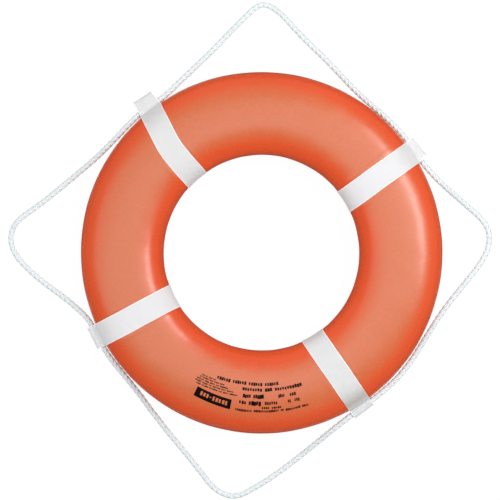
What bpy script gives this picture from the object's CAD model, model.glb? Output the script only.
"""The looks of a 30 inch ring lifebuoy with four webbing straps and a grab line, lying face up.

Metres, +Z up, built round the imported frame. A section of the ring is drawn in (radius, height
over the ring's middle plane), and the angle t goes round it: 0 at the outer rim, 90 degrees at
the top, 180 at the hole and 270 at the bottom.
"""

import math

import bpy
import numpy as np
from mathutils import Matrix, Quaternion, Vector


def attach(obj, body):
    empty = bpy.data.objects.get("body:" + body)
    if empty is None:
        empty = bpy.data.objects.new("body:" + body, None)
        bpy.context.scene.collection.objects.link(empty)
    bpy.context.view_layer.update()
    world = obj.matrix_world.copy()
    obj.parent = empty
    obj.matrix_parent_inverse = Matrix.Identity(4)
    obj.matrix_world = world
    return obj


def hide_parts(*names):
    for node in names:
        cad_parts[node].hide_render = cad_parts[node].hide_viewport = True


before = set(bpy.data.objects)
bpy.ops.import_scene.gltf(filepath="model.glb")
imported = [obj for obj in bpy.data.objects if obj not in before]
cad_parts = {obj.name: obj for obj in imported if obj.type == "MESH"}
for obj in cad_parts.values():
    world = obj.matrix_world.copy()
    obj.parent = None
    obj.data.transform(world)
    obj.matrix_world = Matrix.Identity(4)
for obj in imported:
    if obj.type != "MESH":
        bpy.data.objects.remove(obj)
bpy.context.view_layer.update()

# The ring
OUTER_RADIUS = 0.381
HALF_WIDTH = 0.087
MIDDLE_RADIUS = OUTER_RADIUS - HALF_WIDTH
HALF_DEPTH = 0.054
SECTION_POWER = 2.4
SECTION_TURN = math.pi / 15
COVER_THICKNESS = 0.0012

# The straps
STRAP_WIDTH = 0.0508
STRAP_THICKNESS = 0.0015
CAD_STRAP_GAP = 0.0008
SLEEVE_HEIGHT = 0.002
SLEEVE_THROAT = 0.0082
LEAN_EASE = 0.010
LAP_START = 29 * SECTION_TURN
LAP_END = 26 * SECTION_TURN
STRAPS = {
    "top_right": {
        "hole_angle": 31.7,
        "lean": 4.2,
        "lean_from": 0.207,
        "reach": 0.0210,
        "fold": 0.0075,
        "skew": 5.5,
        "end_width": 0.0488,
        "soil": 0.15,
        "grime": 0.25,
    },
    "top_left": {
        "hole_angle": 131.5,
        "lean": -14.0,
        "lean_from": 0.285,
        "reach": 0.0330,
        "fold": 0.0074,
        "skew": -5.5,
        "end_width": 0.0450,
        "soil": 0.50,
        "grime": 0.35,
    },
    "bottom_left": {
        "hole_angle": 206.2,
        "lean": 1.8,
        "lean_from": 0.207,
        "reach": 0.0195,
        "fold": 0.0075,
        "skew": 0.0,
        "end_width": 0.0490,
        "soil": 0.05,
        "grime": 0.10,
    },
    "bottom_right": {
        "hole_angle": 301.4,
        "lean": 3.1,
        "lean_from": 0.207,
        "reach": 0.0184,
        "fold": 0.0072,
        "skew": 4.0,
        "end_width": 0.0495,
        "soil": 0.60,
        "grime": 0.90,
    },
}

# The grab line
ROPE_DIAMETER = 0.0111
ROPE_RADIUS = ROPE_DIAMETER / 2
FLOOR = ROPE_RADIUS + 0.0003
ROUTE = [
    (-0.2402, 0.3060, 0.058),
    (-0.2615, 0.2885, 0.058),
    (-0.3323, 0.2180, 0.042),
    (-0.4065, 0.1555, 0.014),
    (-0.4910, 0.0895, FLOOR),
    (-0.5280, 0.0552, FLOOR),
    (-0.5335, 0.0214, FLOOR),
    (-0.5032, -0.0291, FLOOR),
    (-0.3868, -0.1208, 0.044),
    (-0.3615, -0.1478, 0.0560),
    (-0.3324, -0.2018, 0.0580),
    (-0.2817, -0.2695, 0.051),
    (-0.2132, -0.3630, 0.020),
    (-0.1262, -0.4720, 0.0065),
    (-0.0974, -0.5045, FLOOR),
    (-0.0605, -0.5190, FLOOR),
    (-0.0210, -0.5050, FLOOR),
    (0.0778, -0.4371, 0.008),
    (0.1903, -0.3425, 0.0572),
    (0.2320, -0.3117, 0.0575),
    (0.2923, -0.2590, 0.053),
    (0.3423, -0.1898, 0.040),
    (0.3894, -0.1193, 0.024),
    (0.4588, -0.0342, FLOOR),
    (0.4830, 0.0100, FLOOR),
    (0.4833, 0.0486, FLOOR),
    (0.4503, 0.0893, FLOOR),
    (0.3880, 0.1405, 0.042),
    (0.3433, 0.1861, 0.057),
    (0.3092, 0.2341, 0.058),
    (0.2640, 0.2840, 0.053),
    (0.2123, 0.3308, 0.038),
    (0.1418, 0.4056, 0.018),
    (0.0700, 0.4788, FLOOR),
    (0.0295, 0.5185, FLOOR),
    (0.0030, 0.5287, FLOOR),
    (-0.0250, 0.5115, FLOOR),
    (-0.1118, 0.4228, 0.016),
    (-0.1742, 0.3601, 0.048),
    (-0.2170, 0.3212, 0.058),
]
ROPE_CROWN = 0.0060  # the strands stand a little outside the rope's measured size
ROPE_STEP = 0.0016
ROPE_END_GAP = 0.00015  # between each end of the rope and the middle of their join
ROPE_PITCH = 0.0365  # one full turn of a strand
STRAND_SHARE = 0.70  # a strand's radius, as a share of the rope's
STRAND_SAMPLES = 9

CAMERA_HEIGHT = 5.0  # over the ring's middle plane
CAMERA_PLACE = (-0.0244, 0.0057)
CAMERA_LENS = 170.45

# Colours
VINYL_DEEP = (0.680, 0.070, 0.010, 1)
VINYL_BRIGHT = (0.700, 0.076, 0.012, 1)
VINYL_CHALK = (0.55, 0.145, 0.050, 1)
CHALK_SHARE = 0.85
CHALK_HEIGHTS = (0.096, 0.111)  # over the floor, where the chalking starts and is full
WEBBING_WHITE = (0.78, 0.775, 0.79, 1)
WEBBING_GAP = (0.58, 0.57, 0.58, 1)
WEBBING_SOIL = (0.61, 0.625, 0.62, 1)
WEBBING_EDGE = (0.92, 0.92, 0.92, 1)
WEBBING_GRIME = (0.44, 0.40, 0.36, 1)
ROPE_WHITE = (0.76, 0.825, 0.84, 1)
ROPE_SHADE = (0.71, 0.775, 0.80, 1)
ROPE_DARK = (0.66, 0.73, 0.76, 1)
ROPE_SOILED = (0.45, 0.52, 0.55, 1)
ROPE_INNER = (0.66, 0.80, 0.84, 1)  # its side towards the ring, which is cleaner
THREAD_WHITE = (0.88, 0.87, 0.87, 1)
THREAD_SHADE = (0.62, 0.61, 0.62, 1)
FOAM_CREAM = (0.64, 0.60, 0.51, 1)
FOAM_CELL = (0.50, 0.45, 0.36, 1)
FOAM_AGED = (0.55, 0.47, 0.35, 1)
INK_BLACK = (0.004, 0.003, 0.003, 1)
INK_WORN = (0.03, 0.010, 0.007, 1)

# The studio
FLOOR_WHITE = 0.06
FLOOR_SEEN = 0.95  # the sweep's own light, to the eye
FLOOR_FILL = 0.85  # the same, to matt surfaces near it
FLOOR_MIRRORED = 0.04  # the share of that which gloss picks up
FLOOR_REACH = 12
BACKDROP_LIGHT = 0.97
ROOM_LIGHT = (0.47, 0.77)  # from the right to the left
ROOM_BRIGHTENS = (-0.97, 0.25, 0)
ROOM_MIRRORED = (0.2, 1.0)  # the share which gloss picks up, from the near left to the far right
ROOM_MIRROR_BRIGHTENS = (0.75, 0.66, 0)


# ---------------------------------------------------------------- materials


def node(tree, kind, settings=None, inputs=None):
    """A new node, with its settings and its inputs: each a value or another node's output."""
    made = tree.nodes.new(kind)
    for key, value in (settings or {}).items():
        setattr(made, key, value)
    for key, value in (inputs or {}).items():
        if isinstance(value, bpy.types.NodeSocket):
            tree.links.new(value, made.inputs[key])
        else:
            made.inputs[key].default_value = value
    return made


def maths(tree, operation, *values):
    return node(
        tree, "ShaderNodeMath", {"operation": operation}, dict(enumerate(values))
    ).outputs[0]


def rounded(tree, value, rate):
    """A row of round humps, from 0 to 1 and back each time that value * rate passes pi."""
    wave = maths(tree, "SINE", maths(tree, "MULTIPLY", value, rate))
    return maths(tree, "ABSOLUTE", wave)


def mixed(tree, factor, first, second):
    """Two colours mixed by a factor."""
    made = node(
        tree,
        "ShaderNodeMix",
        {"data_type": "RGBA"},
        {0: factor, 6: first, 7: second},
    )
    return made.outputs[2]


def ramp(tree, value, low, high, to_low=0.0, to_high=1.0):
    """The value, mapped smoothly from one range to another."""
    return node(
        tree,
        "ShaderNodeMapRange",
        {"interpolation_type": "SMOOTHSTEP"},
        {0: value, 1: low, 2: high, 3: to_low, 4: to_high},
    ).outputs[0]


def noise(tree, where, scale, detail=2.0, roughness=0.5, distortion=0.0):
    return node(
        tree,
        "ShaderNodeTexNoise",
        {},
        {
            "Vector": where,
            "Scale": scale,
            "Detail": detail,
            "Roughness": roughness,
            "Distortion": distortion,
        },
    ).outputs[0]


def stretched(tree, where, scale):
    """The coordinates, scaled differently on each axis."""
    return node(tree, "ShaderNodeMapping", {}, {"Vector": where, "Scale": scale}).outputs[0]


def towards(tree, way, side):
    """How far a direction points towards one side, from -1 to 1."""
    return node(
        tree, "ShaderNodeVectorMath", {"operation": "DOT_PRODUCT"}, {0: way, 1: side}
    ).outputs["Value"]


def bump(tree, height, distance, below=None):
    inputs = {"Height": height, "Distance": distance, "Strength": 1.0}
    if below is not None:
        inputs["Normal"] = below
    return node(tree, "ShaderNodeBump", {}, inputs).outputs[0]


def new_material(name, **values):
    """A material whose constant values are set on its shader's own sockets."""
    made = bpy.data.materials.new(name)
    made.use_nodes = True
    shader = made.node_tree.nodes["Principled BSDF"]
    for key, value in values.items():
        shader.inputs[key.replace("_", " ")].default_value = value
    return made, made.node_tree, shader


def finish_material(tree, shader, colour, roughness, normal):
    tree.links.new(colour, shader.inputs["Base Color"])
    tree.links.new(roughness, shader.inputs["Roughness"])
    tree.links.new(normal, shader.inputs["Normal"])


def object_place(tree):
    return node(tree, "ShaderNodeTexCoord").outputs["Object"]


def uv_parts(tree, uv_map):
    """The two coordinates of a UV map, in metres, and the pair of them."""
    pair = node(tree, "ShaderNodeUVMap", {"uv_map": uv_map}).outputs[0]
    split = node(tree, "ShaderNodeSeparateXYZ", {}, {0: pair})
    return split.outputs[0], split.outputs[1], pair


def grime_of(tree):
    return node(tree, "ShaderNodeAttribute", {"attribute_name": "grime"}).outputs["Fac"]


def vinyl_material():
    """Dipped orange vinyl: soft gloss, a faint orange peel, rubbed and chalked on its face."""
    made, tree, shader = new_material("vinyl", Specular_IOR_Level=0.62)
    place = object_place(tree)
    height = node(tree, "ShaderNodeSeparateXYZ", {}, {0: place}).outputs[2]
    cloud = noise(tree, place, 7.0, 4.0)
    fine_cloud = noise(tree, place, 45.0, 5.0, 0.6)
    colour = mixed(tree, ramp(tree, cloud, 0.3, 0.7), VINYL_DEEP, VINYL_BRIGHT)
    chalk = maths(
        tree,
        "MULTIPLY",
        ramp(tree, height, *CHALK_HEIGHTS),
        ramp(tree, fine_cloud, 0.25, 0.75, 0.85, 1.0),
    )
    colour = mixed(tree, maths(tree, "MULTIPLY", chalk, CHALK_SHARE), colour, VINYL_CHALK)
    roughness = ramp(tree, fine_cloud, 0.25, 0.75, 0.25, 0.30)
    swell = bump(tree, noise(tree, place, 38.0, 1.0), 0.0002)
    peel = bump(tree, noise(tree, place, 700.0, 2.0, 0.6), 0.000006, swell)
    finish_material(tree, shader, colour, roughness, peel)
    return made


WEAVE_COLUMN, WEAVE_ROW = 0.0021, 0.0017


def webbing_material(name, soil, grime):
    """White polypropylene webbing: flat yarns in a plain weave, with a tighter selvedge."""
    made, tree, shader = new_material(
        f"webbing_{name}", Sheen_Weight=0.15, Sheen_Roughness=0.4, Specular_IOR_Level=0.35
    )
    across, along, pair = uv_parts(tree, "weave")
    column = maths(tree, "DIVIDE", across, WEAVE_COLUMN)
    odd = maths(tree, "MODULO", maths(tree, "ABSOLUTE", maths(tree, "FLOOR", column)), 2.0)
    half_step = maths(tree, "MULTIPLY", odd, 0.5)
    row = maths(tree, "ADD", maths(tree, "DIVIDE", along, WEAVE_ROW), half_step)
    column_wave = maths(tree, "POWER", rounded(tree, column, math.pi), 0.6)
    row_wave = maths(tree, "POWER", rounded(tree, row, math.pi), 0.45)
    yarns = maths(tree, "MULTIPLY", column_wave, row_wave)
    fibres = noise(tree, stretched(tree, pair, (5200, 700, 1)), 1.0, 3.0)
    weave = bump(tree, yarns, 0.00032)
    fuzz = bump(tree, fibres, 0.00006, weave)
    cloud = noise(tree, object_place(tree), 22.0, 4.0, 0.6)
    colour = mixed(tree, ramp(tree, yarns, 0.0, 0.55), WEBBING_GAP, WEBBING_WHITE)
    colour = mixed(tree, ramp(tree, cloud, 0.3, 0.75, soil * 0.6, soil), colour, WEBBING_SOIL)
    edge = ramp(tree, maths(tree, "ABSOLUTE", across), 0.0232, 0.0242)
    colour = mixed(tree, edge, colour, WEBBING_EDGE)
    crease = maths(tree, "MULTIPLY", grime_of(tree), ramp(tree, cloud, 0.2, 0.7, 0.7, 1.0))
    colour = mixed(tree, maths(tree, "MULTIPLY", crease, grime), colour, WEBBING_GRIME)
    roughness = ramp(tree, fibres, 0.2, 0.8, 0.55, 0.75)
    finish_material(tree, shader, colour, roughness, fuzz)
    return made


ROPE_YARN = 0.00105


def rope_material():
    """White three-strand rope. The grime attribute is 1 between the strands."""
    made, tree, shader = new_material(
        "rope", Sheen_Weight=0.2, Sheen_Roughness=0.4, Specular_IOR_Level=0.4
    )
    turn, along, pair = uv_parts(tree, "lay")
    fibres = noise(tree, stretched(tree, pair, (4200, 380, 1)), 1.0, 3.0, 0.6)
    yarn_phase = maths(tree, "ADD", turn, maths(tree, "MULTIPLY", along, 0.10))
    yarns = rounded(tree, yarn_phase, math.pi / ROPE_YARN)
    groove = grime_of(tree)
    place = object_place(tree)
    normal = node(tree, "ShaderNodeNewGeometry").outputs["Normal"]
    upwards = towards(tree, normal, (0, 0, 1))
    from_axis = node(tree, "ShaderNodeVectorMath", {"operation": "NORMALIZE"}, {0: place})
    outwards = towards(tree, normal, from_axis.outputs[0])
    cloud = noise(tree, place, 16.0, 4.0, 0.6)
    colour = mixed(tree, ramp(tree, yarns, 0.0, 0.7), ROPE_SHADE, ROPE_WHITE)
    colour = mixed(tree, ramp(tree, cloud, 0.35, 0.75, 0.0, 0.6), colour, ROPE_SHADE)
    colour = mixed(tree, ramp(tree, groove, 0.6, 1.0, 0.0, 0.35), colour, ROPE_DARK)
    soiled = mixed(tree, ramp(tree, outwards, -0.3, 0.3), ROPE_INNER, ROPE_SOILED)
    underside = ramp(tree, upwards, 0.9, 0.2)
    colour = mixed(tree, maths(tree, "MULTIPLY", underside, 0.8), colour, soiled)
    roughness = ramp(tree, fibres, 0.2, 0.8, 0.5, 0.7)
    lay = bump(tree, yarns, 0.00007)
    fuzz = bump(tree, fibres, 0.00002, lay)
    finish_material(tree, shader, colour, roughness, fuzz)
    return made


def thread_material():
    """Waxed white twine, with its plies across it."""
    made, tree, shader = new_material("thread", Specular_IOR_Level=0.4)
    place = object_place(tree)
    plies = node(
        tree,
        "ShaderNodeTexWave",
        {"wave_type": "BANDS", "bands_direction": "DIAGONAL"},
        {"Vector": place, "Scale": 900.0, "Distortion": 2.0},
    ).outputs[1]
    cloud = noise(tree, place, 120.0, 3.0)
    colour = mixed(tree, ramp(tree, plies, 0.1, 0.8), THREAD_SHADE, THREAD_WHITE)
    roughness = ramp(tree, cloud, 0.3, 0.7, 0.45, 0.65)
    finish_material(tree, shader, colour, roughness, bump(tree, plies, 0.00015))
    return made


def foam_material():
    """Cut closed-cell foam: cream, with fine round cells."""
    made, tree, shader = new_material("foam", Specular_IOR_Level=0.2)
    place = object_place(tree)
    cells = node(
        tree, "ShaderNodeTexVoronoi", {"feature": "F1"}, {"Vector": place, "Scale": 420.0}
    ).outputs["Distance"]
    cloud = noise(tree, place, 9.0, 3.0)
    colour = mixed(tree, ramp(tree, cells, 0.1, 0.6), FOAM_CELL, FOAM_CREAM)
    colour = mixed(tree, ramp(tree, cloud, 0.4, 0.8, 0.0, 0.3), colour, FOAM_AGED)
    roughness = ramp(tree, cells, 0.1, 0.6, 0.85, 0.95)
    finish_material(tree, shader, colour, roughness, bump(tree, cells, 0.0005))
    return made


def ink_material():
    """Black screen printing on the vinyl, a little thin and worn."""
    made, tree, shader = new_material("ink", Specular_IOR_Level=0.05)
    place = object_place(tree)
    wear = noise(tree, place, 420.0, 4.0, 0.7)
    colour = mixed(tree, ramp(tree, wear, 0.56, 0.74, 0.0, 0.6), INK_BLACK, INK_WORN)
    roughness = ramp(tree, wear, 0.3, 0.7, 0.42, 0.6)
    finish_material(tree, shader, colour, roughness, bump(tree, wear, 0.00004))
    return made


def floor_material():
    """A white sweep lit from below, as a light table is, which keeps shadows faint."""
    made, tree, shader = new_material(
        "sweep",
        Base_Color=(FLOOR_WHITE, FLOOR_WHITE, FLOOR_WHITE, 1),
        Roughness=0.9,
        Specular_IOR_Level=0.0,
        Emission_Color=(1, 1, 1, 1),
    )
    rays = node(tree, "ShaderNodeLightPath")
    seen = ramp(tree, rays.outputs["Is Camera Ray"], 0, 1, FLOOR_FILL, FLOOR_SEEN)
    dimmed = ramp(tree, rays.outputs["Is Glossy Ray"], 0, 1, 1, FLOOR_MIRRORED)
    tree.links.new(maths(tree, "MULTIPLY", seen, dimmed), shader.inputs["Emission Strength"])
    return made


# ---------------------------------------------------------------- meshes


def new_object(name, mesh, material):
    mesh.materials.append(material)
    made = bpy.data.objects.new(name, mesh)
    bpy.context.scene.collection.objects.link(made)
    return made


def mesh_from_grids(name, grids, material, uv_name=None, grime=None):
    """One mesh from several grids of points, with a grime value for each point if given.

    Each grid is a dict: points (rows, columns, 3), wrap_rows and wrap_columns, which join its
    last row or column to its first, uv (one more row or column where it wraps), and flip.
    """
    points, faces, uvs = [], [], []
    start = 0
    for grid in grids:
        place = grid["points"]
        rows, columns = place.shape[:2]
        row_count = rows if grid.get("wrap_rows") else rows - 1
        column_count = columns if grid.get("wrap_columns") else columns - 1
        i, j = np.meshgrid(np.arange(row_count), np.arange(column_count), indexing="ij")
        below, beside = (i + 1) % rows, (j + 1) % columns
        corners = [
            (i * columns + j, i, j),
            (i * columns + beside, i, j + 1),
            (below * columns + beside, i + 1, j + 1),
            (below * columns + j, i + 1, j),
        ]
        if grid.get("flip"):
            corners = corners[::-1]
        faces.append(start + np.stack([c[0].ravel() for c in corners], axis=1))
        if uv_name:
            uv = grid["uv"]
            uvs.append(np.stack([uv[c[1], c[2]].reshape(-1, 2) for c in corners], axis=1))
        points.append(place.reshape(-1, 3))
        start += rows * columns
    points, faces = np.concatenate(points), np.concatenate(faces)
    mesh = bpy.data.meshes.new(name)
    mesh.vertices.add(len(points))
    mesh.vertices.foreach_set("co", points.ravel())
    mesh.loops.add(faces.size)
    mesh.loops.foreach_set("vertex_index", faces.ravel())
    mesh.polygons.add(len(faces))
    mesh.polygons.foreach_set("loop_start", np.arange(0, faces.size, 4))
    mesh.update(calc_edges=True)
    mesh.validate()
    if uv_name:
        layer = mesh.uv_layers.new(name=uv_name)
        layer.uv.foreach_set("vector", np.concatenate(uvs).ravel())
    if grime is not None:
        mesh.attributes.new("grime", "FLOAT", "POINT").data.foreach_set("value", grime.ravel())
    mesh.shade_smooth()
    return new_object(name, mesh, material)


def capped(rings):
    """A tube's rings with a point at each end, so that it closes."""
    first = np.repeat(rings[:1].mean(axis=1, keepdims=True), rings.shape[1], axis=1)
    last = np.repeat(rings[-1:].mean(axis=1, keepdims=True), rings.shape[1], axis=1)
    return np.concatenate([first, rings, last])


# ---------------------------------------------------------------- the ring's shape


def signed_power(value, power):
    return np.sign(value) * np.abs(value) ** power


def section_point(t, offset=0.0):
    """Radius and height of the cover's surface at t, moved out along its normal."""
    power = 2 / SECTION_POWER
    radius = MIDDLE_RADIUS + HALF_WIDTH * signed_power(np.cos(t), power)
    height = HALF_DEPTH * signed_power(np.sin(t), power)
    across = signed_power(np.cos(t), 2 - power) / HALF_WIDTH
    up = signed_power(np.sin(t), 2 - power) / HALF_DEPTH
    size = np.hypot(across, up)
    return radius + offset * across / size, height + offset * up / size


BOTTOM_T = 22 * SECTION_TURN
MIDDLE_HEIGHT = -section_point(BOTTOM_T, CAD_STRAP_GAP + STRAP_THICKNESS)[1]


def strap_angle(strap, radius):
    """The direction from the ring's axis of the strap's centre line at a radius."""
    past = (radius - strap["lean_from"]) / LEAN_EASE
    eased = LEAN_EASE * np.log1p(np.exp(np.minimum(past, 50)))
    sideways = math.tan(math.radians(strap["lean"])) * eased
    return math.radians(strap["hole_angle"]) + np.arcsin(sideways / radius)


def strap_slant(strap, radius):
    step = 0.001
    turn = strap_angle(strap, radius + step) - strap_angle(strap, radius - step)
    return np.arctan(radius * turn / (2 * step))


def strap_point(strap, radius, height, across):
    """Points of the strap, which change from the ring's curve to the sleeve's near the rim."""
    angle = strap_angle(strap, radius) + np.arcsin(
        across / (radius * np.cos(strap_slant(strap, radius)))
    )
    lying = np.stack([radius * np.cos(angle), radius * np.sin(angle)], axis=-1)
    out = radius - OUTER_RADIUS
    narrowing = 1 - strap["end_width"] / STRAP_WIDTH
    width_share = 1 - narrowing * np.maximum(out, 0) / strap["reach"]
    rim = strap_angle(strap, OUTER_RADIUS)
    turned = rim + math.radians(strap["skew"])
    outwards = np.array([math.cos(turned), math.sin(turned)])
    sideways = np.array([-math.sin(turned), math.cos(turned)])
    base = OUTER_RADIUS * np.array([math.cos(rim), math.sin(rim)])
    free = base + out[..., None] * outwards + (across * width_share)[..., None] * sideways
    share = np.clip((out - 0.002) / 0.006, 0, 1)
    share = (share * share * (3 - 2 * share))[..., None]
    flat = lying * (1 - share) + free * share
    return np.concatenate([flat, (MIDDLE_HEIGHT + height)[..., None]], axis=-1)


COVER_SWELL = 0.0005
STRAP_BED = 0.0005  # from the nominal surface to a strap's inside


def skin_offset(angle, t):
    """How far the cover stands out from its nominal surface."""
    radius, height = section_point(t)
    offset = COVER_SWELL + 0.00022 * (
        np.sin(3 * angle + 1.1 + 0.6 * np.sin(t))
        + 0.7 * np.sin(7 * angle - 2 * t + 0.4)
        + 0.5 * np.sin(13 * angle + 3 * t + 2.2)
        + 0.35 * np.sin(29 * angle - 5 * t)
    )
    offset = offset - 0.0009 * np.exp(-((height / 0.0014) ** 2))
    for strap in STRAPS.values():
        turn = (angle - strap_angle(strap, radius) + math.pi) % (2 * math.pi) - math.pi
        away = np.abs(turn) * radius * np.cos(strap_slant(strap, radius))
        under = 1 / (1 + np.exp(np.minimum((away - 0.0245) / 0.0011, 50)))
        beside = np.exp(-(((away - 0.0305) / 0.0045) ** 2))
        offset = offset * (1 - under) + under * 0.0001 + beside * 0.00045
    return offset


def skin_point(angle, t, lift=0.0):
    radius, height = section_point(t, skin_offset(angle, t) + lift)
    return np.stack(
        [radius * np.cos(angle), radius * np.sin(angle), MIDDLE_HEIGHT + height], axis=-1
    )


# ---------------------------------------------------------------- the pieces


def cover(name, side, material):
    """Half of the vinyl cover: its outside, the edges turned in at the seams and its inside."""
    angles = np.linspace(0, 2 * math.pi, 512, endpoint=False)
    spread = (1 - np.cos(np.linspace(0, math.pi, 90))) / 2
    t = side * math.pi * np.clip(spread, 0.00035, 1 - 0.00035)
    outside = skin_point(*np.meshgrid(angles, t, indexing="ij"))
    inner_t = side * math.pi * (1 - np.cos(np.linspace(math.pi, 0, 40))) / 2
    inner_t = np.clip(inner_t, -math.pi + 0.001, math.pi - 0.001)
    radius, height = section_point(inner_t, -COVER_THICKNESS)
    height = side * np.maximum(side * height, 0.00015)
    turn = angles[:, None]
    inside = np.stack(
        [radius * np.cos(turn), radius * np.sin(turn), MIDDLE_HEIGHT + height + 0 * turn], axis=-1
    )
    points = np.concatenate([outside, inside], axis=1)
    grid = {"points": points, "wrap_rows": True, "wrap_columns": True, "flip": side < 0}
    made = mesh_from_grids(f"{name}_skin", [grid], material)
    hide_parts(name)
    return made


def smooth_line(points, pieces, closed=False):
    """A cubic spline through the points, smooth to its curvature, with its own end slopes."""
    points = np.array(points, float)
    count = len(points)
    spans = np.linalg.norm(np.roll(points, -1, axis=0) - points, axis=1)
    system = np.zeros((count, count))
    pull = np.zeros(points.shape)
    for i in range(count):
        if not closed and i in (0, count - 1):
            near, far = (0, 1) if i == 0 else (count - 2, count - 1)
            system[i, i] = 2
            system[i, far if i == 0 else near] = 1
            pull[i] = 3 * (points[far] - points[near]) / spans[near]
            continue
        before, after = spans[i - 1], spans[i]
        following = (i + 1) % count
        system[i, i - 1] = 1 / before
        system[i, i] = 2 / before + 2 / after
        system[i, following] = 1 / after
        pull[i] = 3 * (points[i] - points[i - 1]) / before**2
        pull[i] += 3 * (points[following] - points[i]) / after**2
    slopes = np.linalg.solve(system, pull)
    u = (np.arange(pieces) / pieces)[:, None]
    line = []
    for i in range(count if closed else count - 1):
        following = (i + 1) % count
        line.append(
            (2 * u**3 - 3 * u**2 + 1) * points[i]
            + (3 * u**2 - 2 * u**3) * points[following]
            + (u**3 - 2 * u**2 + u) * spans[i] * slopes[i]
            + (u**3 - u**2) * spans[i] * slopes[following]
        )
    if not closed:
        line.append(points[-1:])
    return np.concatenate(line)


def evenly(line, step):
    """The line, cut again into equal steps of about this length."""
    run = lengths_along(line)
    places = np.linspace(0, run[-1], max(2, round(run[-1] / step)) + 1)
    return np.stack([np.interp(places, run, line[:, k]) for k in range(line.shape[1])], axis=1)


def sleeve_line(strap):
    fold = strap["fold"]
    centre = strap["reach"] - STRAP_THICKNESS / 2 - fold
    line = [(0.0010, 0.0113), (0.0034, SLEEVE_HEIGHT + SLEEVE_THROAT)]
    for angle in np.linspace(math.pi / 2, -math.pi / 2, 7):
        line.append((centre + fold * math.cos(angle), SLEEVE_HEIGHT + fold * math.sin(angle)))
    if centre > 0.02:  # a long sleeve's lower ply hangs clear of the rope
        line.append((0.0140, -0.0068))
    line += [(0.0038, SLEEVE_HEIGHT - SLEEVE_THROAT), (0.0022, -0.0100)]
    return [(OUTER_RADIUS + out, height) for out, height in line]


def strap_line(strap):
    """The middle of the strap's thickness, from its first end to its lapped end."""
    bed = STRAP_BED + STRAP_THICKNESS / 2
    ring_t = np.linspace(LAP_START, SECTION_TURN, 300)
    ring = np.stack(section_point(ring_t, bed), axis=1)
    over = np.linspace(LAP_START, LAP_END, 60)
    second = np.stack(section_point(over, bed + STRAP_THICKNESS + 0.0002), axis=1)
    middle = smooth_line([ring[-12], ring[-1], *sleeve_line(strap), second[0], second[8]], 14)
    return evenly(np.concatenate([ring[:-12], middle, second[9:]]), 0.0014)


def band_profile():
    """A strap's section: places across it and offsets from its middle, once round."""
    half, edge = STRAP_WIDTH / 2, STRAP_THICKNESS / 2
    across = np.linspace(-half + edge, half - edge, 27)
    bead = 1 + 0.10 * np.exp(-(((np.abs(across) - half + 0.003) / 0.0016) ** 2))
    turn = np.linspace(math.pi / 2, -math.pi / 2, 7)[1:-1]
    right = np.stack([half - edge + edge * np.cos(turn), edge * np.sin(turn)], axis=1)
    top = np.stack([across, edge * bead], axis=1)
    return np.concatenate([top, right, top[::-1] * (1, -1), right[::-1] * (-1, 1)])


def lengths_along(line):
    """How far each point of a line is along it."""
    return np.concatenate([[0], np.cumsum(np.linalg.norm(np.diff(line, axis=0), axis=1))])


def heading(line):
    """The way along a line at each of its points."""
    way = np.gradient(line, axis=0)
    return way / np.linalg.norm(way, axis=1, keepdims=True)


def strap_piece(name, strap, material):
    line = strap_line(strap)
    way = heading(line)
    profile = band_profile()
    run = lengths_along(line)
    # Woven tape is never quite flat or quite straight
    phase = strap["hole_angle"]
    wander = 0.00025 * np.sin(run * 41 + phase) + 0.00015 * np.sin(run * 97 + 2 * phase)
    ripple = 0.00010 * np.sin(run * 260 + phase)
    across = profile[None, :, 0] + wander[:, None]
    lift = profile[None, :, 1] + ripple[:, None] * np.cos(profile[None, :, 0] * 120 + phase)
    radius = line[:, None, 0] - lift * way[:, None, 1]
    height = line[:, None, 1] + lift * way[:, None, 0]
    rings = capped(strap_point(strap, radius, height, across))
    # Grime settles on the face just short of the sleeve, and a little where it dips into the hole
    short = OUTER_RADIUS - 0.014 - line[:, 0]
    near = np.exp(-((short / np.where(short > 0, 0.020, 0.009)) ** 2))
    dip = 0.35 * np.exp(-(((line[:, 0] - 0.209) / 0.008) ** 2))
    settled = np.where(line[:, 1] > 0.0, near + dip, 0.0)[:, None] + 0 * across
    settled, run = np.pad(settled, ((1, 1), (0, 0)), "edge"), np.pad(run, 1, "edge")
    columns = np.append(profile[:, 0], profile[0, 0])
    uv = np.stack(np.broadcast_arrays(columns[None, :], run[:, None]), axis=-1)
    grid = {"points": rings, "wrap_columns": True, "uv": uv}
    made = mesh_from_grids(f"{name}_webbing", [grid], material, "weave", settled)
    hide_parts(name)
    return made


def parallel_frames(line):
    """Two directions across a line in space, which don't twist along it."""
    way = heading(line)
    first = np.cross(way[0], (0, 0, 1.0))
    sides = [first / np.linalg.norm(first)]
    for ahead in way[1:]:
        side = sides[-1] - ahead * np.dot(sides[-1], ahead)
        sides.append(side / np.linalg.norm(side))
    sides = np.array(sides)
    return sides, np.cross(way, sides)


def tube(line, radius, corners):
    """A plain round tube's grid along a line in space."""
    side, up = parallel_frames(line)
    turn = np.linspace(0, 2 * math.pi, corners, endpoint=False)
    ring = np.cos(turn)[None, :, None] * side[:, None] + np.sin(turn)[None, :, None] * up[:, None]
    return {"points": capped(line[:, None] + radius * ring), "wrap_columns": True}


def rope_line():
    loop = smooth_line(ROUTE, 24, closed=True)
    loop = np.concatenate([loop, loop[:1]])
    loop[:, 2] = np.maximum(loop[:, 2], FLOOR)
    line = evenly(loop, ROPE_STEP)
    for end, inward in ((0, 1), (-1, -2)):
        way = line[inward] - line[end]
        line[end] += ROPE_END_GAP * way / np.linalg.norm(way)
    return line


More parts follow.
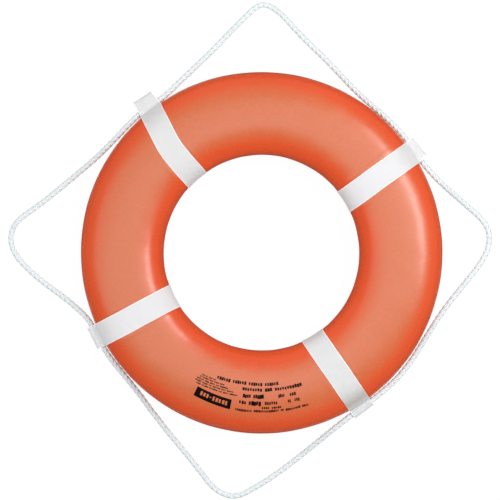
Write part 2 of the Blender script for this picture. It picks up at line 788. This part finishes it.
def rope_piece(name, line, material):
    """Three strands laid up right-handed, drawn as the outside that they make together."""
    side, up = parallel_frames(line)
    run = np.arange(len(line)) * ROPE_STEP
    strand = STRAND_SHARE * ROPE_RADIUS
    offset = ROPE_CROWN - strand
    from_strand = np.radians(np.linspace(-60, 60, STRAND_SAMPLES, endpoint=False))
    reach = offset * np.cos(from_strand) + np.sqrt(
        strand**2 - (offset * np.sin(from_strand)) ** 2
    )
    reach = np.tile(reach, 3)
    turn = np.concatenate([from_strand + k * 2 * math.pi / 3 for k in range(3)])
    # Strands are never quite alike: each swells and tightens a little along the rope
    uneven = np.ones((len(line), len(turn)))
    for k in range(3):
        own = slice(k * STRAND_SAMPLES, (k + 1) * STRAND_SAMPLES)
        swell = 0.020 * np.sin(run * 83 + 2.1 * k) + 0.015 * np.sin(run * 211 + 4 * k)
        uneven[:, own] += swell[:, None] * np.cos(1.5 * from_strand)[None, :]
    twist = 2 * math.pi * run / ROPE_PITCH + 0.25 * np.sin(run * 19) + 0.15 * np.sin(run * 47)
    angle = turn[None, :] + twist[:, None]
    ring = np.cos(angle)[..., None] * side[:, None] + np.sin(angle)[..., None] * up[:, None]
    rings = capped(line[:, None] + (reach[None, :] * uneven)[..., None] * ring)
    rings[..., 2] = np.maximum(rings[..., 2], 0.0002)  # it flattens a little on the floor
    depth = (ROPE_CROWN - reach) / (ROPE_CROWN - reach.min())
    groove = np.tile(depth, (len(rings), 1))
    # One more column closes the turn, and one more row at each end is for the caps
    columns = np.append(turn, turn[0] + 2 * math.pi)[None, :] + np.pad(twist, 1, "edge")[:, None]
    lengths = np.pad(run, 1, "edge")
    uv = np.stack(np.broadcast_arrays(columns * ROPE_RADIUS, lengths[:, None]), axis=-1)
    grid = {"points": rings, "wrap_columns": True, "uv": uv}
    made = mesh_from_grids(f"{name}_rope", [grid], material, "lay", groove)
    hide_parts(name)
    return made


def seizing_piece(name, line, material):
    """Twine wound tightly round the rope's joined ends."""
    twine = 0.00045
    middle, along = line[0], line[1] - line[0]
    along = along / np.linalg.norm(along)
    side = np.cross(along, (0, 0, 1.0))
    side /= np.linalg.norm(side)
    up = np.cross(along, side)
    turns = 22
    turn = np.linspace(0, 2 * math.pi * turns, turns * 28 + 1)
    place = (turn / turn[-1] - 0.5) * turns * 2.05 * twine
    winding = ROPE_RADIUS + 0.9 * twine
    helix = (
        middle
        + place[:, None] * along
        + winding * (np.cos(turn)[:, None] * side + np.sin(turn)[:, None] * up)
    )
    made = mesh_from_grids(f"{name}_twine", [tube(helix, twine, 8)], material)
    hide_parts(name)
    return made


STITCH_LENGTH = 0.0032
STITCH_PITCH = 0.0038


def stitching_piece(name, strap, material):
    """A sewn box with a cross in it, which holds the lap."""
    bed = STRAP_BED + 2 * STRAP_THICKNESS + 0.0002
    lap_t = np.linspace(LAP_END, LAP_START, 200)
    lap = np.stack(section_point(lap_t, bed), axis=1)
    run = lengths_along(lap)
    low, high = 0.006, run[-1] - 0.009
    wide = 0.0185
    seams = [
        ((-wide, low), (wide, low)),
        ((wide, low), (wide, high)),
        ((wide, high), (-wide, high)),
        ((-wide, high), (-wide, low)),
        ((-wide, low), (wide, high)),
        ((wide, low), (-wide, high)),
    ]
    grids = []
    for seam_start, seam_end in np.array(seams):
        length = np.linalg.norm(seam_end - seam_start)
        count = round(length / STITCH_PITCH)
        for i in range(count):
            middle = (i + 0.5) / count
            half = STITCH_LENGTH / 2 / length
            share = np.linspace(middle - half, middle + half, 7)
            place = seam_start + share[:, None] * (seam_end - seam_start)
            lift = 0.00035 * np.sin(np.linspace(0.15, math.pi - 0.15, 7))
            t = np.interp(place[:, 1], run, lap_t)
            radius, height = section_point(t, bed + lift)
            grids.append(tube(strap_point(strap, radius, height, place[:, 0]), 0.00032, 6))
    made = mesh_from_grids(f"{name}_thread", grids, material)
    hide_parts(name)
    return made


# Printing on the face, all of it plain blocks: radius, height of a line, first and last angle
# (degrees), width of a block, gap after it, and how many blocks make each word.
PRINT_PANEL = (0.3237, 0.0206, 244.4, 258.5)
PANEL_RISE = 0.0044  # how much nearer the hole its first end is
PANEL_BLOCKS = (0.3232, 0.0092, 246.4, 257.6, 9)  # left bare in the panel
PANEL_DASH = 3  # the block that is a low dash
PRINT_LINES = [
    (0.2752, 0.0063, 250.4, 277.4, 0.0033, 0.0010, (6, 6, 6, 6)),
    (0.2868, 0.0063, 262.0, 287.0, 0.0033, 0.0010, (8, 3, 11)),
    (0.3012, 0.0078, 262.5, 270.8, 0.0048, 0.0004, (4, 5)),
    (0.3016, 0.0064, 276.6, 279.3, 0.0035, 0.0011, (4,)),
    (0.3016, 0.0064, 281.2, 283.8, 0.0035, 0.0012, (3,)),
    (0.3151, 0.0064, 261.4, 264.3, 0.0032, 0.0011, (3,)),
    (0.3155, 0.0087, 265.1, 269.7, 0.0048, 0.0004, (5,)),
    (0.3151, 0.0066, 271.2, 276.2, 0.0036, 0.0011, (6,)),
    (0.3151, 0.0066, 280.0, 281.2, 0.0034, 0.0012, (2,)),
    (0.3151, 0.0066, 282.6, 284.6, 0.0034, 0.0012, (3,)),
    (0.3246, 0.0042, 270.0, 277.5, 0.0024, 0.0009, (4, 5)),
    (0.3316, 0.0044, 260.4, 287.3, 0.0024, 0.0009, (10, 15, 2, 9, 4)),
    (0.2826, 0.0026, 243.9, 250.2, 0.0018, 0.0006, (5, 3, 6, 4)),
    (0.2874, 0.0028, 243.4, 254.2, 0.0018, 0.0006, (3, 7, 4, 6, 5)),
    (0.2924, 0.0028, 242.6, 256.2, 0.0018, 0.0006, (7, 4, 5, 3, 8)),
    (0.2974, 0.0028, 242.2, 258.6, 0.0018, 0.0006, (6, 5, 3, 7, 4, 6)),
    (0.3026, 0.0028, 243.2, 260.4, 0.0018, 0.0006, (4, 6, 8, 3, 5, 7)),
]
PRINT_LIFT = 0.00012


def printed_patch(radius, height, first, last, columns, rows, rise=0.0, lift=PRINT_LIFT):
    """A patch of ink that follows the cover's face."""
    down = np.linspace(height / 2, -height / 2, rows)[:, None]
    radii = radius + down - np.linspace(rise, 0, columns)[None, :]
    angles = np.broadcast_to(np.radians(np.linspace(first, last, columns)), radii.shape)
    cosine = signed_power((radii - MIDDLE_RADIUS) / HALF_WIDTH, SECTION_POWER / 2)
    return {"points": skin_point(angles, np.arccos(cosine), lift)}


def printing(material, bare_material):
    panel = printed_patch(*PRINT_PANEL, 40, 12, PANEL_RISE)
    made = mesh_from_grids("print_panel", [panel], material)
    blocks = []
    for radius, height, first, last, width, gap, words in PRINT_LINES:
        total = sum(words) + len(words) - 1
        step = (last - first) / total
        share = width / (width + gap)
        at = first
        for count in words:
            for _ in range(count):
                turn = math.radians(at)
                uneven = math.sin(turn * 1700 + radius * 9000)
                place = radius + 0.08 * height * math.sin(turn * 2900)
                tall, wide = height * (1.0 + 0.12 * uneven), step * share * (1.0 + 0.15 * uneven)
                blocks.append(printed_patch(place, tall, at, at + wide, 3, 3))
                at += step
            at += step
    lines = mesh_from_grids("print_lines", blocks, material)
    radius, height, first, last, count = PANEL_BLOCKS
    step = (last - first) / count
    bare = []
    for i in range(count):
        if i == PANEL_DASH:
            tall, wide = 0.22 * height, 0.55 * step
        else:
            tall = height * (0.92 + 0.08 * math.sin(5 * i))
            wide = step * (0.66 + 0.1 * math.sin(3 * i))
        at = first + i * step
        place = radius - PANEL_RISE * (1 - (i + 0.5) / count)
        bare.append(printed_patch(place, tall, at, at + wide, 4, 4, lift=2 * PRINT_LIFT))
    gaps = mesh_from_grids("print_gaps", bare, bare_material)
    return [made, lines, gaps]


# ---------------------------------------------------------------- camera, lights and floor


def add_camera():
    """A long lens straight over the face, a little to one side of the ring's axis."""
    data = bpy.data.cameras.new("camera")
    data.lens = CAMERA_LENS
    data.sensor_width = 36
    data.clip_end = 50
    made = bpy.data.objects.new("camera", data)
    made.location = (*CAMERA_PLACE, MIDDLE_HEIGHT + CAMERA_HEIGHT)
    bpy.context.scene.collection.objects.link(made)
    bpy.context.scene.camera = made


def add_softbox(name, place, size, power, target=(0, 0, 0.05), turn=0.0):
    """A rectangular light over the lifebuoy, aimed at a point and turned about its own axis."""
    data = bpy.data.lights.new(name, "AREA")
    data.shape = "RECTANGLE"
    data.size, data.size_y = size
    data.energy = power
    made = bpy.data.objects.new(name, data)
    made.location = place
    way = Vector(target) - Vector(place)
    made.rotation_mode = "QUATERNION"
    made.rotation_quaternion = way.to_track_quat("-Z", "Y") @ Quaternion((0, 0, 1), turn)
    bpy.context.scene.collection.objects.link(made)


def add_world():
    """A pale backdrop, and a dim room as the object meets it."""
    world = bpy.data.worlds.new("studio")
    world.use_nodes = True
    tree = world.node_tree
    background = tree.nodes["Background"]
    background.inputs["Color"].default_value = (1, 1, 1, 1)
    rays = node(tree, "ShaderNodeLightPath")
    way = node(tree, "ShaderNodeTexCoord").outputs["Generated"]
    room = ramp(tree, towards(tree, way, ROOM_BRIGHTENS), -1, 1, *ROOM_LIGHT)
    mirrored = ramp(tree, towards(tree, way, ROOM_MIRROR_BRIGHTENS), -1, 1, *ROOM_MIRRORED)
    strength = ramp(tree, rays.outputs["Is Camera Ray"], 0, 1, room, BACKDROP_LIGHT)
    dimmed = ramp(tree, rays.outputs["Is Glossy Ray"], 0, 1, 1, mirrored)
    tree.links.new(maths(tree, "MULTIPLY", strength, dimmed), background.inputs["Strength"])
    bpy.context.scene.world = world


def add_floor():
    """A wide level square, at the height on which the lifebuoy rests."""
    mesh = bpy.data.meshes.new("floor")
    far = FLOOR_REACH
    corners = [(-far, -far, 0), (far, -far, 0), (far, far, 0), (-far, far, 0)]
    mesh.from_pydata(corners, [], [(0, 1, 2, 3)])
    made = new_object("floor", mesh, floor_material())


def add_studio():
    add_softbox("overhead", (0, 0.25, 3.0), (7.6, 2.2), 43, target=(0, 0.25, 0))
    add_softbox("strip", (0, 0, 3.1), (7.6, 0.9), 16.5, target=(0, 0, 0), turn=math.radians(20))
    add_softbox("key", (1.66, 0.66, 2.40), (1.7, 0.48), 27)
    add_softbox("spill", (0.90, 0.42, 2.20), (1.2, 0.9), 3)
    add_world()
    add_floor()


def main():
    bpy.context.scene.view_settings.view_transform = "Standard"
    add_camera()
    pieces = []
    line = rope_line()
    rope = rope_piece("grab_line", line, rope_material())
    thread = thread_material()
    seizing = seizing_piece("grab_line_seizing", line, thread)
    pieces += [rope, seizing]

    vinyl = vinyl_material()
    for name, side in (("cover_front", 1), ("cover_back", -1)):
        skin = cover(name, side, vinyl)
        pieces.append(skin)
    foam = foam_material()
    for name in ("foam_core_front", "foam_core_back"):
        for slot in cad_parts[name].material_slots:
            slot.material = foam
    for name, strap in STRAPS.items():
        webbing = webbing_material(name, strap["soil"], strap["grime"])
        pieces.append(strap_piece(f"strap_{name}", strap, webbing))
        pieces.append(stitching_piece(f"stitching_{name}", strap, thread))
    pieces += printing(ink_material(), vinyl)
    for piece in pieces:
        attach(piece, "root")

    add_studio()


main()
